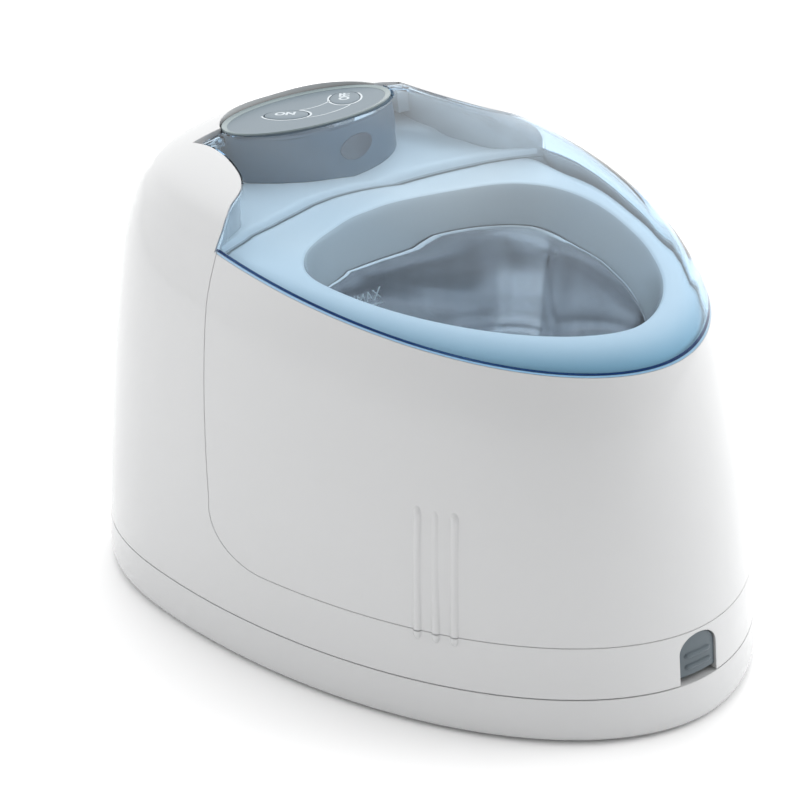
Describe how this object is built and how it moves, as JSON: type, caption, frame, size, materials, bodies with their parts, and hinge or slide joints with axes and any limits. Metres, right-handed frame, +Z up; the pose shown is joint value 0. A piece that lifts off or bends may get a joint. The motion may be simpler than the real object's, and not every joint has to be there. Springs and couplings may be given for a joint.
{
  "type": "ultrasonic cleaner",
  "caption": "Egg-shaped desk-top ultrasonic cleaner: clear blue hinged lid over a steel tank, lift-off tank unit, release latch, tilted panel with ON and OFF keys.",
  "frame": {"origin": "on the table under the feet, at the middle of the footprint", "axes": "+Z up; the narrow tip with the latch toward -Y; the control panel, the lid hinge and the power inlet toward +Y, the user's side"},
  "size_m": [0.1686, 0.2114, 0.1301],
  "materials": {
    "white_abs": "high-gloss cool white ABS",
    "clear_blue": "clear tinted plastic, polished",
    "slate": "slate grey satin plastic",
    "steel": "deep-drawn stainless steel",
    "bright_metal": "bright plated steel",
    "aluminium": "machined aluminium",
    "rubber": "matt moulded rubber",
    "brass": "plain brass",
    "circuit_green": "solder-masked laminate",
    "black_plastic": "black moulded plastic",
    "capacitor_sleeve": "printed sleeve",
    "transformer_tape": "yellow tape on a ferrite core",
    "ceramic": "fired ceramic",
    "wire": "insulated wire",
    "lens_dark": "dark tinted window",
    "led": "clear-bodied light"
  },
  "bodies": {
    "base_unit": {"base_pan": "white_abs", "rubber_feet": "rubber", "base_screws": "bright_metal", "rear_casing": "white_abs", "dock_frame": "white_abs", "control_pod": "slate", "light_lens": "lens_dark", "light_led": "led", "panel_overlay": "slate", "control_board": "circuit_green", "tact_switches": "black_plastic", "latch_spring": "bright_metal", "inlet_socket": "black_plastic", "inlet_pins": "brass", "power_board": "circuit_green", "transformer": "transformer_tape", "capacitors": "capacitor_sleeve", "heatsink": "aluminium", "fuse": "bright_metal", "docking_socket": "black_plastic", "base_wiring": "wire"},
    "tank_unit": {"front_shell": "white_abs", "tank_deck": "white_abs", "tank_gasket": "rubber", "steel_tank": "steel", "tank_tub": "white_abs", "tank_screws": "bright_metal", "docking_plug": "black_plastic", "transducer_horn": "aluminium", "piezo_rings": "ceramic", "electrodes": "brass", "back_mass": "bright_metal", "transducer_bolt": "bright_metal", "tank_wiring": "wire"},
    "latch": {"latch_button": "slate"},
    "on_key": {"key_on": "slate"},
    "off_key": {"key_off": "slate"},
    "lid": {"lid_shell": "clear_blue", "hinge_pins": "bright_metal"}
  },
  "joints": [
    {"name": "tank_lift", "type": "slide", "parent": "base_unit", "child": "tank_unit", "axis": [0, 0, 1], "range_m": [0, 0.12]},
    {"name": "lid_hinge", "type": "hinge", "parent": "tank_unit", "child": "lid", "pos_m": [0, 0.073, 0.1246], "axis": [-1, 0, 0], "range_deg": [0, 85]},
    {"name": "latch_press", "type": "slide", "parent": "base_unit", "child": "latch", "axis": [0, 0, -1], "range_m": [0, 0.0018], "stiffness_N_per_m": 400, "springref_m": -0.002, "deforming": ["latch_spring"]},
    {"name": "on_key_press", "type": "slide", "parent": "base_unit", "child": "on_key", "axis": [0, -0.1392, -0.9903], "range_m": [0, 0.0005], "stiffness_N_per_m": 900, "springref_m": -0.0005},
    {"name": "off_key_press", "type": "slide", "parent": "base_unit", "child": "off_key", "axis": [0, -0.1392, -0.9903], "range_m": [0, 0.0005], "stiffness_N_per_m": 900, "springref_m": -0.0005}
  ]
}
